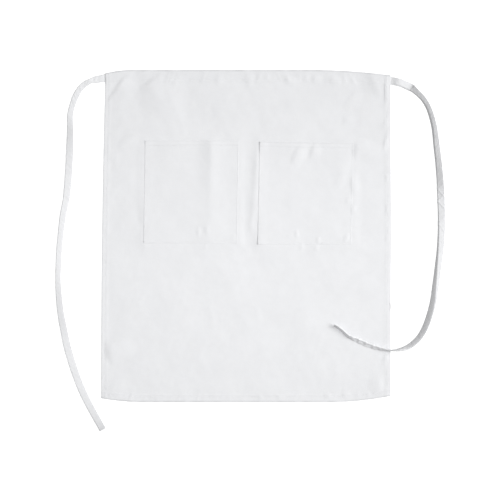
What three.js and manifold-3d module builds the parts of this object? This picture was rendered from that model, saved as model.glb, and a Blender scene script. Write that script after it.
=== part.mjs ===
// A white bistro apron laid flat: one hemmed panel, two patch pockets and two loose ties.
// Millimetres. X runs to the right of the apron as seen from above, Y runs up to the waist,
// and Z rises from the surface that the apron lies on, which is z = 0.
import * as THREE from 'three';
import { LoftGeometry } from 'three/addons/geometries/LoftGeometry.js';
import { mergeVertices } from 'three/addons/utils/BufferGeometryUtils.js';
import Module from 'manifold-3d';

// Cloth and gaps.
const CLOTH = 1.0;
const GAP = 0.3;
const FOLD_STEP = 0.6;

// Panel.
const WIDTH = 717;
const LENGTH = 823;
const LEFT_LEAN = 10;
const LEAN_FROM_Y = -125;
const LEAN_TO_Y = 375;

// Hems, folded to the back.
const SIDE_HEM = 11;
const BOTTOM_HEM = 15;
const WAIST_HEM = 26;
const HEM_RISE = 1.2;
const HEM_SETTLE = 14;

// Ties, and the seats in the waist hem that hold their ends.
const TIE_WIDTH = 19;
const TIE_THICK = 1.2;
const TIE_LIFT = 0.05;
const SEAT_DEPTH = 25;
const SEAT_SETTLE = 24;
const SEAT_RISE = 2 * CLOTH + TIE_THICK + 2 * GAP - CLOTH - HEM_RISE;

// Pockets.
const POCKET_WIDTH = 233;
const POCKET_HEIGHT = 255;
const POCKET_TURN = 10;
const POCKET_MOUTH_HEM = 14;
const POCKET_PUFF = 5.6;
const PUFF_SIDE = 0.3;
const PUFF_BOTTOM = 0.42;

const white = { color: 0xedeef0, roughness: 0.9, metalness: 0 };

// Where an edge of the panel draws in towards a corner: by how much, and over what reach.
const CORNERS = [
  { edge: 'waist', side: -1, draw: 11.4, reach: 78 },
  { edge: 'waist', side: 1, draw: 15, reach: 170 },
  { edge: 'bottom', side: -1, draw: 11, reach: 105 },
  { edge: 'bottom', side: 1, draw: 16, reach: 150 },
];

// Soft folds that stand up from the surface: centre, direction of the crest in degrees,
// half length along the crest, half width across it, and height.
const FOLDS = [
  { name: 'left corner crease', x: -312, y: 364, turn: 52, long: 44, wide: 20, high: 1.8 },
  { name: 'waist crease left', x: -240, y: 367, turn: 45, long: 36, wide: 25, high: 1.8 },
  { name: 'waist mound left', x: -211, y: 317, turn: 62, long: 84, wide: 53, high: 1.6 },
  { name: 'left edge drift', x: -292, y: 236, turn: 38, long: 56, wide: 26, high: 1.2 },
  { name: 'waist drift right', x: 258, y: 336, turn: 47, long: 48, wide: 26, high: 1.2 },
  { name: 'right edge ridge', x: 296, y: 190, turn: 90, long: 52, wide: 26, high: 1.2 },
  { name: 'left edge dent', x: -328, y: -285, turn: 105, long: 36, wide: 22, high: 1.4 },
  { name: 'right corner crease', x: 328, y: -358, turn: 60, long: 42, wide: 22, high: 1.4 },
  { name: 'left corner lift', x: -332, y: -387, turn: 35, long: 48, wide: 33, high: 1.2 },
];

// The pockets: left edge and bottom edge, shift of the bottom to the side, drop of the mouth's
// right end, and a soft ridge that runs up the pocket at a share of its width.
const POCKETS = [
  { name: 'pocket_left', x: -250, y: -18, shift: -4, drop: 0, ridge: 0.67, wide: 0.13, high: 1.6 },
  { name: 'pocket_right', x: 34, y: -21, shift: -5, drop: 5, ridge: 0.36, wide: 0.16, high: 1.2 },
];

// The ties. Each row is a place along the middle of the tie as seen from above, from the waist to
// the free end. The tape has a crease along it: share is the part of its width on the right of the
// crease, right and left are the degrees by which the two parts drop from it, as seen along the
// tie, and rest is the height of what it lies on.
const TIES = [
  {
    name: 'tie_left',
    seat: { x: -348, y: 392, turn: 192 },
    route: [
      { x: -384, y: 384, share: 0.33, right: 90, left: 0, rest: 0 },
      { x: -399, y: 376, share: 0.25, right: 90, left: 0, rest: 0 },
      { x: -411, y: 364, share: 0.25, right: 90, left: 2, rest: 0 },
      { x: -421, y: 347, share: 0.23, right: 90, left: 0, rest: 0 },
      { x: -429, y: 326, share: 0.27, right: 90, left: 0, rest: 0 },
      { x: -435, y: 300, share: 0.28, right: 90, left: 0, rest: 0 },
      { x: -435, y: 284, share: 0.28, right: 90, left: 0, rest: 0 },
      { x: -435, y: 262, share: 0.32, right: 22, left: 1, rest: 0 },
      { x: -436, y: 222, share: 0.5, right: 11, left: 1, rest: 0 },
      { x: -438, y: 178, share: 0.5, right: 3, left: -2, rest: 0 },
      { x: -441, y: 134, share: 0.4, right: -1, left: 2, rest: 0 },
      { x: -445, y: 92, share: 0.15, right: 90, left: 3, rest: 0 },
      { x: -453, y: 52, share: 0.24, right: 90, left: 3, rest: 0 },
      { x: -458, y: 12, share: 0.27, right: 90, left: 2, rest: 0 },
      { x: -462, y: -28, share: 0.28, right: 90, left: 2, rest: 0 },
      { x: -464, y: -68, share: 0.28, right: 90, left: 2, rest: 0 },
      { x: -465, y: -108, share: 0.3, right: 90, left: 1, rest: 0 },
      { x: -463, y: -149, share: 0.26, right: 84, left: -2, rest: 0 },
      { x: -459, y: -188, share: 0.18, right: 76, left: -5, rest: 0 },
      { x: -452, y: -228, share: 0.12, right: 55, left: -3, rest: 0 },
      { x: -444, y: -268, share: 0.12, right: 35, left: -1, rest: 0 },
      { x: -433, y: -308, share: 0.12, right: 28, left: 0, rest: 0 },
      { x: -420, y: -347, share: 0.12, right: 28, left: 0, rest: 0 },
      { x: -404, y: -387, share: 0.12, right: 32, left: 0, rest: 0 },
      { x: -384, y: -428, share: 0.16, right: 36, left: -2, rest: 0 },
      { x: -357, y: -479, share: 0.22, right: 22, left: -12, rest: 0 },
    ],
  },
  {
    name: 'tie_right',
    seat: { x: 358.5, y: 385, turn: -9.5 },
    route: [
      { x: 384, y: 379, share: 0.2, right: 25, left: -2, rest: 0 },
      { x: 408, y: 370, share: 0.22, right: 34, left: -3, rest: 0 },
      { x: 415, y: 366, share: 0.24, right: 64, left: -22, rest: 0 },
      { x: 426, y: 357, share: 0.27, right: 84, left: -31, rest: 0 },
      { x: 441, y: 341, share: 0.45, right: 74, left: -21, rest: 0 },
      { x: 451, y: 320, share: 0.5, right: 72, left: -17, rest: 0 },
      { x: 459, y: 298, share: 0.5, right: 70, left: -17, rest: 0 },
      { x: 466, y: 266, share: 0.42, right: 70, left: -20, rest: 0 },
      { x: 471, y: 226, share: 0.3, right: 62, left: -19, rest: 0 },
      { x: 475, y: 184, share: 0.28, right: 60, left: -22, rest: 0 },
      { x: 479, y: 142, share: 0.18, right: 50, left: -19, rest: 0 },
      { x: 482, y: 98, share: 0.12, right: 50, left: -9, rest: 0 },
      { x: 483, y: 54, share: 0.16, right: 60, left: -6, rest: 0 },
      { x: 483, y: 10, share: 0.2, right: 44, left: 1, rest: 0 },
      { x: 483, y: -34, share: 0.3, right: 44, left: 4, rest: 0 },
      { x: 479, y: -76, share: 0.46, right: 40, left: 8, rest: 0 },
      { x: 473, y: -120, share: 0.6, right: 36, left: 10, rest: 0 },
      { x: 465, y: -166, share: 0.74, right: 36, left: 9, rest: 0 },
      { x: 452, y: -206, share: 0.85, right: 40, left: 4, rest: 0 },
      { x: 439, y: -236, share: 0.85, right: 44, left: 0, rest: 0 },
      { x: 423, y: -258, share: 0.8, right: 54, left: 0, rest: 0 },
      { x: 402, y: -274, share: 0.78, right: 63, left: 10, rest: 0.2 },
      { x: 380, y: -282, share: 0.52, right: 74, left: 46, rest: 2.6 },
      { x: 357, y: -284, share: 0.5, right: 90, left: 30, rest: 2.9 },
      { x: 332, y: -281, share: 0.5, right: 90, left: 24, rest: 1.6 },
      { x: 303, y: -271, share: 0.5, right: 90, left: 26, rest: 1.5 },
      { x: 276, y: -258, share: 0.5, right: 90, left: 30, rest: 1.5 },
      { x: 251, y: -245, share: 0.5, right: 90, left: 30, rest: 1.5 },
      { x: 232, y: -232, share: 0.5, right: 90, left: 30, rest: 1.5 },
      { x: 218, y: -222, share: 0.5, right: 90, left: 30, rest: 1.5 },
    ],
  },
];
const TIE_STEPS_PER_ROW = 2;

// Spacing of the facets.
const PANEL_COLUMNS = 31;
const PANEL_ROWS = 34;
const POCKET_COLUMNS = 13;
const POCKET_ROWS = 10;

const wasm = await Module();
wasm.setup();

const { clamp, degToRad, lerp, smoothstep } = THREE.MathUtils;

// Height of a soft rise that is full up to one distance and gone at the next.
function fade(distance, full, gone) {
  return 1 - smoothstep(distance, full, gone);
}

// Outline of the panel: the waist and bottom edges over X, and the left edge over Y.
function edgeY(edge, x) {
  const drawn = CORNERS.filter((corner) => corner.edge === edge).reduce((sum, corner) => {
    const share = clamp(1 - (WIDTH / 2 - corner.side * x) / corner.reach, 0, 1);
    return sum + corner.draw * share * share;
  }, 0);
  return edge === 'waist' ? LENGTH / 2 - drawn : drawn - LENGTH / 2;
}

function leftX(y) {
  return LEFT_LEAN * clamp((y - LEAN_FROM_Y) / (LEAN_TO_Y - LEAN_FROM_Y), 0, 1) - WIDTH / 2;
}

// Height of all the soft folds together at one place.
function foldHeight(x, y) {
  return FOLDS.reduce((sum, fold) => {
    const turn = degToRad(fold.turn);
    const along = ((x - fold.x) * Math.cos(turn) + (y - fold.y) * Math.sin(turn)) / fold.long;
    const across = ((y - fold.y) * Math.cos(turn) - (x - fold.x) * Math.sin(turn)) / fold.wide;
    const inside = Math.max(0, 1 - along * along - across * across);
    return sum + fold.high * inside * inside;
  }, 0);
}

// Distances from one edge to the other: close lines over the hems, even lines between them.
function gridLines(start, end, total, count) {
  const last = start[start.length - 1];
  const span = total - last - end[end.length - 1];
  const middle = Array.from({ length: count - 1 }, (_, i) => last + (span * (i + 1)) / count);
  return [...start, ...middle, ...end.map((distance) => total - distance).reverse()];
}

function hemLines(depth) {
  return [0, depth, depth + FOLD_STEP, depth + HEM_SETTLE];
}

// A closed sheet lofted through rows of places with an upper and a lower height.
function sheetLoft(rows) {
  const sections = rows.map((row) => [
    ...row.map((place) => new THREE.Vector3(place.x, place.y, place.top)),
    ...row.map((place) => new THREE.Vector3(place.x, place.y, place.under)).reverse(),
  ]);
  return new LoftGeometry(sections, { closed: true, capStart: true, capEnd: true });
}

// The panel's upper and lower height at a place, given its distances from the four edges.
function panelPlace(x, y, fromLeft, fromBottom) {
  const side = Math.min(fromLeft.start, fromLeft.end);
  const seat = SEAT_RISE * fade(side, SEAT_DEPTH + 4, SEAT_DEPTH + 4 + SEAT_SETTLE);
  const rise = Math.max(
    HEM_RISE * fade(side, SIDE_HEM, SIDE_HEM + HEM_SETTLE),
    HEM_RISE * fade(fromBottom.start, BOTTOM_HEM, BOTTOM_HEM + HEM_SETTLE),
    (HEM_RISE + seat) * fade(fromBottom.end, WAIST_HEM, WAIST_HEM + HEM_SETTLE),
  );
  const fold = foldHeight(x, y);
  const slack = FOLD_STEP / 2;
  const inSideHem = side < SIDE_HEM + slack;
  const inEndHem = fromBottom.start < BOTTOM_HEM + slack || fromBottom.end < WAIST_HEM + slack;
  const under = inSideHem || inEndHem ? fold : fold + rise;
  return { x, y, top: fold + rise + CLOTH, under };
}

function panelGeometry() {
  const waistLines = [...hemLines(WAIST_HEM).slice(0, 1), WAIST_HEM / 2, ...hemLines(WAIST_HEM).slice(1)];
  const sideLines = [...hemLines(SIDE_HEM), SEAT_DEPTH + 4 + SEAT_SETTLE / 2, SEAT_DEPTH + 4 + SEAT_SETTLE];
  const down = gridLines(hemLines(BOTTOM_HEM), waistLines, LENGTH, PANEL_ROWS);
  const across = gridLines(sideLines, sideLines, WIDTH, PANEL_COLUMNS);
  const rows = down.map((fromBottom) => {
    const left = leftX(fromBottom - LENGTH / 2);
    return across.map((fromLeft) => {
      const nearSide = sideLines[sideLines.length - 1];
      const share = clamp((fromLeft - nearSide) / (WIDTH - 2 * nearSide), 0, 1);
      const x = lerp(left + fromLeft, fromLeft - WIDTH / 2, share);
      const low = edgeY('bottom', x);
      const high = edgeY('waist', x);
      const near = { low: BOTTOM_HEM + HEM_SETTLE, high: WAIST_HEM + HEM_SETTLE };
      const run = clamp((fromBottom - near.low) / (LENGTH - near.low - near.high), 0, 1);
      const y = lerp(low + fromBottom, high - LENGTH + fromBottom, run);
      return panelPlace(
        x,
        y,
        { start: fromLeft, end: WIDTH - fromLeft },
        { start: fromBottom, end: LENGTH - fromBottom },
      );
    });
  });
  return sheetLoft(rows);
}

// A patch pocket: seams flat on the panel, the wall puffed up from it, the mouth left open.
function pocketGeometry(pocket) {
  const base = CLOTH + GAP;
  const turned = [0, POCKET_TURN, POCKET_TURN + FOLD_STEP];
  const mouth = [0, POCKET_MOUTH_HEM, POCKET_MOUTH_HEM + FOLD_STEP];
  const up = gridLines(turned, mouth, POCKET_HEIGHT, POCKET_ROWS);
  const across = gridLines(turned, turned, POCKET_WIDTH, POCKET_COLUMNS);
  const rows = up.map((fromBottom) => {
    const rising = smoothstep(fromBottom, POCKET_TURN, PUFF_BOTTOM * POCKET_HEIGHT);
    return across.map((fromLeft) => {
      const side = Math.min(fromLeft, POCKET_WIDTH - fromLeft);
      const arch = smoothstep(side, POCKET_TURN, PUFF_SIDE * POCKET_WIDTH);
      const offset = clamp((fromLeft / POCKET_WIDTH - pocket.ridge) / pocket.wide, -1, 1);
      const ridge = pocket.high * (1 - offset * offset) ** 2;
      const puff = (POCKET_PUFF * arch + ridge) * rising;
      const onSeam = Math.min(side, fromBottom) < POCKET_TURN + FOLD_STEP / 2;
      const onMouth = POCKET_HEIGHT - fromBottom < POCKET_MOUTH_HEM + FOLD_STEP / 2;
      const wall = base + CLOTH + puff;
      return {
        x: pocket.x + fromLeft + pocket.shift * (1 - fromBottom / POCKET_HEIGHT),
        y: pocket.y + fromBottom * (1 - ((pocket.drop / POCKET_HEIGHT) * fromLeft) / POCKET_WIDTH),
        top: wall + CLOTH,
        under: onSeam || onMouth ? wall - CLOTH : wall,
      };
    });
  });
  return sheetLoft(rows);
}

// The end of a tie that is caught in the waist hem, as rows of the same kind as its route.
function seatRows(seat) {
  const turn = degToRad(seat.turn);
  return [GAP - SEAT_DEPTH, -SEAT_DEPTH / 2, 0, SEAT_DEPTH / 4].map((distance) => ({
    x: seat.x + distance * Math.cos(turn),
    y: seat.y + distance * Math.sin(turn),
    share: 0.5,
    right: 0,
    left: 0,
    rest: CLOTH + GAP,
  }));
}

// One cross section of a tie: two parts that drop from the crease, lowest edge on its rest, with
// the middle of what is seen from above at its place.
function tieSection(place, heading, share, pose) {
  const right = { angle: degToRad(pose.x), reach: share * TIE_WIDTH };
  const left = { angle: degToRad(pose.y), reach: (1 - share) * TIE_WIDTH };
  const aside = new THREE.Vector3(heading.y, -heading.x, 0).normalize();
  const up = new THREE.Vector3(0, 0, 1);
  const drop = Math.max(0, right.reach * Math.sin(right.angle), left.reach * Math.sin(left.angle));
  const middle = (right.reach * Math.cos(right.angle) - left.reach * Math.cos(left.angle)) / 2;
  const thick = TIE_THICK / 2;
  const crest = new THREE.Vector3(place.x, place.y, Math.max(TIE_LIFT, pose.z) + drop + thick);
  crest.addScaledVector(aside, -middle);
  const edges = [
    { angle: -left.angle, reach: -left.reach, thick },
    {
      angle: (right.angle - left.angle) / 2,
      reach: 0,
      thick: thick / Math.cos((left.angle + right.angle) / 2),
    },
    { angle: right.angle, reach: right.reach, thick },
  ];
  const face = (sign) =>
    edges.map((edge) => {
      const sideways = edge.reach * Math.cos(edge.angle) + sign * edge.thick * Math.sin(edge.angle);
      const rise = sign * edge.thick * Math.cos(edge.angle) - edge.reach * Math.sin(edge.angle);
      return crest.clone().addScaledVector(aside, sideways).addScaledVector(up, rise);
    });
  return [...face(1), ...face(-1).reverse()];
}

function tieGeometry(tie) {
  const rows = [...seatRows(tie.seat), ...tie.route];
  const smooth = (pick) => new THREE.CatmullRomCurve3(rows.map(pick), false, 'catmullrom');
  const line = smooth((row) => new THREE.Vector3(row.x, row.y, 0));
  const creases = smooth((row) => new THREE.Vector3(row.share, 0, 0));
  const poses = smooth((row) => new THREE.Vector3(row.right, row.left, row.rest));
  const steps = (rows.length - 1) * TIE_STEPS_PER_ROW;
  const sections = Array.from({ length: steps + 1 }, (_, i) => {
    const t = i / steps;
    return tieSection(line.getPoint(t), line.getTangent(t), creases.getPoint(t).x, poses.getPoint(t));
  });
  return new LoftGeometry(sections, { closed: true, capStart: true, capEnd: true });
}

// The open seat in the end of the waist hem.
function seatCutter(tie) {
  const tall = TIE_THICK + 2 * GAP;
  const box = new THREE.BoxGeometry(2 * SEAT_DEPTH, TIE_WIDTH + 2 * GAP, tall);
  box.rotateZ(degToRad(tie.seat.turn));
  return box.translate(tie.seat.x, tie.seat.y, CLOTH + tall / 2);
}

function toSolid(geometry) {
  const bare = new THREE.BufferGeometry();
  bare.setAttribute('position', geometry.attributes.position);
  bare.setIndex(geometry.index);
  const merged = mergeVertices(bare, 1e-4);
  return new wasm.Manifold(
    new wasm.Mesh({
      numProp: 3,
      vertProperties: new Float32Array(merged.attributes.position.array),
      triVerts: new Uint32Array(merged.index.array),
    }),
  );
}

function toGeometry(solid) {
  const mesh = solid.getMesh();
  const geometry = new THREE.BufferGeometry();
  geometry.setAttribute('position', new THREE.BufferAttribute(mesh.vertProperties, 3));
  geometry.setIndex(new THREE.BufferAttribute(mesh.triVerts, 1));
  geometry.computeVertexNormals();
  return geometry;
}

const group = new THREE.Group();
group.name = 'bistro_apron';

function addPiece(name, geometry) {
  const mesh = new THREE.Mesh(geometry, new THREE.MeshStandardMaterial(white));
  mesh.name = name;
  group.add(mesh);
}

const seats = TIES.map((tie) => toSolid(seatCutter(tie)));
const panel = seats.reduce((solid, seat) => solid.subtract(seat), toSolid(panelGeometry()));
addPiece('panel', toGeometry(panel));
POCKETS.forEach((pocket) => addPiece(pocket.name, pocketGeometry(pocket)));
TIES.forEach((tie) => addPiece(tie.name, tieGeometry(tie)));

export default group;
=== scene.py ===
# %% [markdown]
# # A white bistro apron, laid flat
# The apron is one sheet of white twill with its edges hemmed, two patch pockets sewn on it and a
# cloth tie caught in each end of the waist hem. It lies on a pale surface and is seen from above.
# The frame gives the sizes and places of its five pieces. This lesson lays real cloth over them:
# sheets that are folded and stitched as a sewer folds and stitches them.

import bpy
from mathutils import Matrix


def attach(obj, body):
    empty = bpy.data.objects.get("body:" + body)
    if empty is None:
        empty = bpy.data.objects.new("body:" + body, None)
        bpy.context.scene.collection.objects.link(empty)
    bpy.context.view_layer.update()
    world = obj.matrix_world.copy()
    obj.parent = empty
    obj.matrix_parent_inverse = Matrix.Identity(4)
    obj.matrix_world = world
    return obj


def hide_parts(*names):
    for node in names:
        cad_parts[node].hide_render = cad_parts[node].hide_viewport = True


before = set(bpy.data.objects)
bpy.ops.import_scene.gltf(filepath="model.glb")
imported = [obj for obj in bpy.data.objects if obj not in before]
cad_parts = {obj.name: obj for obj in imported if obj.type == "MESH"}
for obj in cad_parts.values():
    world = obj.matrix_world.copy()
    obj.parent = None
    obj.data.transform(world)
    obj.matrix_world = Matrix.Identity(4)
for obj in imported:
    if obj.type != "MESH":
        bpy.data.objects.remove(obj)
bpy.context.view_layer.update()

import math
import random

import bpy
import numpy as np
from mathutils import Vector

bpy.ops.object.select_all(action="DESELECT")

# %% [markdown]
# ## The camera
# The picture was taken from straight above, so the camera looks down the Z axis with the waist at
# the top of the image. A camera with no turn already looks straight down, so only its place and
# its lens need numbers: the picture spans a known width of the surface.

# %% Camera above the surface
PICTURE_SPAN = 1.240
PICTURE_MIDDLE = (0.0102, -0.0347)
CAMERA_HEIGHT = 3.4
SENSOR_MM = 36.0

bpy.ops.object.camera_add(location=(*PICTURE_MIDDLE, CAMERA_HEIGHT), rotation=(0, 0, 0))
camera = bpy.context.object
camera.name = "overhead_camera"
camera.data.sensor_width = SENSOR_MM
camera.data.lens = SENSOR_MM * CAMERA_HEIGHT / PICTURE_SPAN
bpy.context.scene.camera = camera
print("lens in millimetres:", round(camera.data.lens, 1))

# %% [markdown]
# ## Small helpers
# Cloth is full of soft humps and ramps, so two smooth curves serve everywhere: one is a hump that
# ends at one unit from its middle, the other climbs from 0 to 1. They work on whole arrays, because
# a sheet has tens of thousands of points.

# %% Smooth curves and mesh helper
def hump(t):
    """1 in the middle, 0 from one unit out, with no kink."""
    return np.clip(1 - np.square(t), 0, None) ** 2


def ramp(t):
    """Climbs from 0 at t = 0 to 1 at t = 1."""
    t = np.clip(t, 0, 1)
    return t * t * (3 - 2 * t)


def mesh_object(name, points, faces, uvs=None):
    """A mesh at the origin from points and faces, with one UV pair for each face corner."""
    mesh = bpy.data.meshes.new(name)
    mesh.from_pydata([tuple(p) for p in points], [], faces)
    if uvs is not None:
        layer = mesh.uv_layers.new(name="cloth_uv")
        layer.data.foreach_set("uv", np.asarray(uvs, dtype=np.float32).ravel())
    mesh.validate()
    piece = bpy.data.objects.new(name, mesh)
    bpy.context.collection.objects.link(piece)
    mesh.polygons.foreach_set("use_smooth", [True] * len(mesh.polygons))
    return piece


print("helpers ready")

# %% [markdown]
# ## The ties
# Each tie is a strip of the same twill, folded lengthwise and stitched along both edges. It is a
# free cord: limp, of a fixed length, lying where it fell. A tape that turns on its edge can't be a
# round curve with a bevel, so its cross section is lofted along a route of points. The tape has a
# soft crease along it, and each row of the route gives the middle of the tape as seen from above,
# the share of its width that lies to the right of the crease, how far the right and left parts
# drop from the crease in degrees, and the height of what it lies on. Where the tie was knotted
# before, small slanting creases cross it.

# %% Routes of the ties, in metres
TIE_WIDTH = 0.019
TIE_THICK = 0.0012
SEAT_DEPTH = 0.025
SEAT_GAP = 0.0003
SEAT_FLOOR = 0.0007

TIES = {
    "tie_left": {
        "seat": (-0.348, 0.392, 192),
        "route": [
            (-0.362, 0.389, 0.06, 105, 0, 0), (-0.372, 0.3872, 0.09, 166, 0, 0.0003),
            (-0.384, 0.384, 0.34, 168, 0, 0),
            (-0.399, 0.376, 0.24, 170, 0, 0), (-0.411, 0.364, 0.24, 172, 2, 0),
            (-0.421, 0.347, 0.21, 172, 0, 0), (-0.429, 0.326, 0.26, 172, 0, 0),
            (-0.435, 0.300, 0.26, 172, -1, 0), (-0.435, 0.262, 0.16, 170, -9, 0),
            (-0.436, 0.222, 0.04, 165, -5, 0), (-0.438, 0.178, 0.04, 165, -2, 0),
            (-0.441, 0.134, 0.06, 168, 1, 0), (-0.445, 0.092, 0.13, 170, 3, 0),
            (-0.453, 0.052, 0.20, 172, 3, 0), (-0.458, 0.012, 0.26, 172, 2, 0),
            (-0.462, -0.028, 0.27, 172, 2, 0), (-0.464, -0.068, 0.27, 172, 1, 0),
            (-0.465, -0.108, 0.31, 170, -2, 0), (-0.463, -0.149, 0.19, 168, -5, 0),
            (-0.459, -0.188, 0.14, 165, -6, 0), (-0.452, -0.228, 0.07, 165, -4, 0),
            (-0.444, -0.268, 0.04, 165, -1, 0), (-0.433, -0.308, 0.04, 165, 0, 0),
            (-0.420, -0.347, 0.04, 165, 0, 0), (-0.404, -0.387, 0.04, 165, -1, 0),
            (-0.3833, -0.428, 0.09, 78, -3, 0), (-0.3605, -0.469, 0.12, 60, -8, 0),
            (-0.3545, -0.4803, 0.13, 58, -14, 0),
        ],
    },
    "tie_right": {
        "seat": (0.3585, 0.385, -9.5),
        "route": [
            (0.3735, 0.382, 0.20, 22, -2, 0.0024), (0.384, 0.379, 0.20, 25, -2, 0.0028),
            (0.4072, 0.3688, 0.22, 34, -3, 0.0006),
            (0.4135, 0.3645, 0.24, 64, -22, 0), (0.424, 0.355, 0.27, 84, -31, 0),
            (0.4388, 0.3396, 0.45, 76, -27, 0), (0.4508, 0.320, 0.50, 74, -26, 0),
            (0.459, 0.298, 0.50, 71, -25, 0), (0.4668, 0.266, 0.50, 68, -20, 0),
            (0.4718, 0.226, 0.38, 64, -19, 0), (0.4768, 0.184, 0.32, 60, -22, 0),
            (0.4806, 0.142, 0.19, 54, -25, 0), (0.4832, 0.098, 0.13, 50, -13, 0),
            (0.4845, 0.054, 0.19, 58, -9, 0), (0.4842, 0.010, 0.26, 52, -3, 0),
            (0.4813, -0.034, 0.35, 54, -2, 0), (0.4760, -0.076, 0.50, 53, -1, 0),
            (0.4703, -0.120, 0.64, 44, 2, 0), (0.4630, -0.166, 0.84, 42, 3, 0),
            (0.4518, -0.206, 0.92, 42, 8, 0), (0.4392, -0.236, 0.92, 44, 8, 0),
            (0.4235, -0.258, 0.92, 48, 8, 0), (0.402, -0.2745, 0.94, 54, 14, 0.0002),
            (0.380, -0.2815, 0.75, 74, 60, 0.0016), (0.357, -0.2832, 0.50, 98, 70, 0.0020),
            (0.332, -0.2795, 0.54, 145, 43, 0.0016), (0.303, -0.2702, 0.60, 156, 37, 0.0015),
            (0.277, -0.2589, 0.60, 156, 37, 0.0015), (0.254, -0.2483, 0.52, 142, 44, 0.0015),
            (0.232, -0.2294, 0.40, 128, 58, 0.0015), (0.218, -0.2208, 0.40, 124, 60, 0.0015),
        ],
    },
}

# Creases across the ties: x, y, slant, half width, height.
TIE_CREASES = {
    "tie_left": [
        (-0.409, 0.366, 0.5, 0.005, 0.0003), (-0.424, 0.338, -0.4, 0.005, 0.00025),
        (-0.438, 0.205, 0.6, 0.006, 0.0003),
    ],
    "tie_right": [
        (0.48, 0.119, 1.2, 0.0042, 0.00042), (0.481, 0.107, -1.2, 0.0042, 0.0006),
        (0.482, 0.0935, 1.2, 0.0042, 0.0007), (0.482, 0.0775, -1.2, 0.0042, 0.00055),
        (0.483, 0.038, 1.2, 0.005, 0.00032), (0.483, 0.023, -1.2, 0.005, 0.00032),
        (0.33, -0.281, 0.3, 0.006, 0.0006), (0.311, -0.276, 0.3, 0.006, 0.0007),
        (0.294, -0.269, 0.4, 0.006, 0.0008), (0.278, -0.261, 0.4, 0.006, 0.0008),
        (0.262, -0.254, 0.3, 0.006, 0.00065),
    ],
}


def with_seat(tie):
    """The route with the straight rows of the sewn-in end before it."""
    x, y, turn = tie["seat"]
    along = np.array([SEAT_GAP - SEAT_DEPTH, -SEAT_DEPTH / 2, 0])
    way = (math.cos(math.radians(turn)), math.sin(math.radians(turn)))
    rows = [(x + d * way[0], y + d * way[1], 0.1, 0, 0, SEAT_FLOOR) for d in along]
    return np.array(rows + tie["route"], dtype=float)


def smooth_rows(rows, per_row):
    """Even steps on the smooth curve through all the columns of the rows."""
    padded = np.vstack([2 * rows[0] - rows[1], rows, 2 * rows[-1] - rows[-2]])
    steps = np.linspace(0, len(rows) - 1, (len(rows) - 1) * per_row + 1)
    cell = np.minimum(steps.astype(int), len(rows) - 2)
    t = (steps - cell)[:, None]
    a, b, c, d = (padded[cell + k] for k in range(4))
    return 0.5 * (2 * b + (c - a) * t + (2 * a - 5 * b + 4 * c - d) * t**2 + (3 * b - a - 3 * c + d) * t**3)


print({name: len(with_seat(tie)) for name, tie in TIES.items()})

# %% [markdown]
# The cross section is thin and pillowed: thickest in the middle, pinched where the two rows of
# stitching run, and rounded at its folded edges. It bends round the crease, curls a little more
# towards the rim where it drops steeply, and its lowest edge rests on the surface.

# %% Cross section of a tie
TIE_STEPS_PER_ROW = 22
TIE_STITCH_AT = 0.8
TIE_LOWEST = 0.0004
CREASE_HALF = 0.10
TIE_CURL, CURL_MOST_AT, CURL_SPAN = math.radians(9), 0.87, 0.8
ACROSS = np.concatenate([[-1, -0.985, -0.95], np.linspace(-0.9, 0.9, 27), [0.95, 0.985, 1]])
PILLOW = np.sqrt(np.clip(1 - np.abs(ACROSS) ** 4, 0.02, 1))
PILLOW -= 0.3 * hump((np.abs(ACROSS) - TIE_STITCH_AT) / 0.12)


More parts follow.
